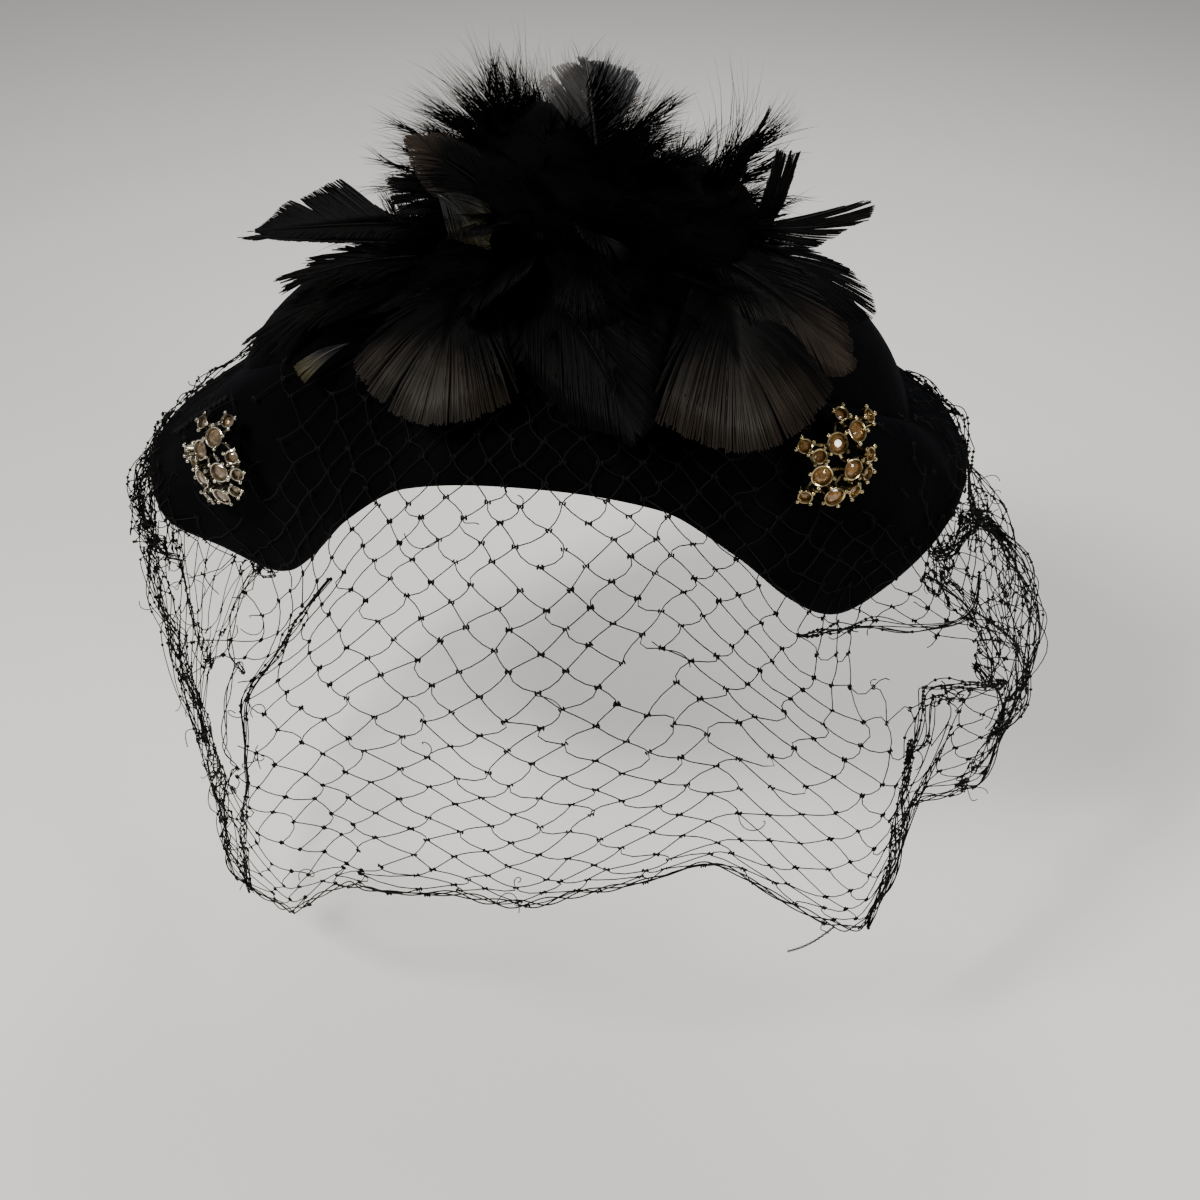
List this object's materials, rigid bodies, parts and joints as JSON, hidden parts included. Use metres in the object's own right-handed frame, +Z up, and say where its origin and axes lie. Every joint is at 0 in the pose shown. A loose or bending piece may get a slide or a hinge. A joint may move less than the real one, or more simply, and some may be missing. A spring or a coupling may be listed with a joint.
{
  "type": "fascinator",
  "caption": "Velvet half hat with a drooping winged brim, a feather plume on its crown, a coarse netting veil to chin level and two cluster brooches.",
  "frame": {"origin": "inner top of the crown, where the hat sits on a head", "axes": "+Z up, -Y to the front, where the veil hangs, +X to a viewer's right when looking at the front"},
  "size_m": [0.2736, 0.1933, 0.2585],
  "materials": {
    "velvet": "deep black silk velvet with a soft blue sheen at grazing angles",
    "net": "black stiffened net, matte thread",
    "down": "black fluffy hackle and marabou",
    "feather_black": "black feather vane with a faint silk gloss",
    "feather_grey": "smoky grey feather vane",
    "feather_bronze": "bronze brown feather vane with a silk gloss",
    "feather_olive": "olive grey feather vane, yellow at its tip",
    "metal_gold": "antiqued yellow gold plate, dark in the recesses",
    "metal_pale": "antiqued pale gold plate, dark in the recesses",
    "stone_amber": "foiled amber glass stone, cut",
    "stone_champagne": "foiled champagne glass stone, cut"
  },
  "bodies": {
    "root": {"crown": "velvet", "brim": "velvet", "veil": "net", "plume_core": "down", "feather_front_middle": "feather_black", "feather_right_spiked": "feather_black", "feather_right_strips": "feather_black", "feather_right_hook": "feather_black", "feather_right_wisp": "feather_black", "feather_left_wing": "feather_black", "feather_left_low": "feather_black", "feather_left_strips": "feather_black", "feather_left_sweep_1": "feather_black", "feather_left_sweep_2": "feather_black", "feather_front_left_fan": "feather_bronze", "feather_front_right_fan": "feather_bronze", "feather_right_bronze": "feather_bronze", "feather_left_bronze": "feather_bronze", "feather_left_olive": "feather_olive", "feather_left_sweep_3": "feather_olive", "feather_top_vane": "feather_grey", "brooch_left_setting": "metal_pale", "brooch_left_stone_a": "stone_champagne", "brooch_left_stone_b": "stone_champagne", "brooch_left_stone_c": "stone_champagne", "brooch_left_stone_d": "stone_champagne", "brooch_left_stone_e": "stone_champagne", "brooch_left_stone_f": "stone_champagne", "brooch_left_stone_g": "stone_champagne", "brooch_left_stone_h": "stone_champagne", "brooch_left_stone_i": "stone_champagne", "brooch_left_stone_j": "stone_champagne", "brooch_left_stone_k": "stone_champagne", "brooch_left_stone_l": "stone_champagne", "brooch_left_stone_m": "stone_champagne", "brooch_right_setting": "metal_gold", "brooch_right_stone_a": "stone_amber", "brooch_right_stone_b": "stone_amber", "brooch_right_stone_c": "stone_amber", "brooch_right_stone_d": "stone_amber", "brooch_right_stone_e": "stone_amber", "brooch_right_stone_f": "stone_amber", "brooch_right_stone_g": "stone_amber", "brooch_right_stone_h": "stone_amber", "brooch_right_stone_i": "stone_amber", "brooch_right_stone_j": "stone_amber", "brooch_right_stone_k": "stone_amber", "brooch_right_stone_l": "stone_amber", "brooch_right_stone_m": "stone_amber"}
  },
  "joints": []
}
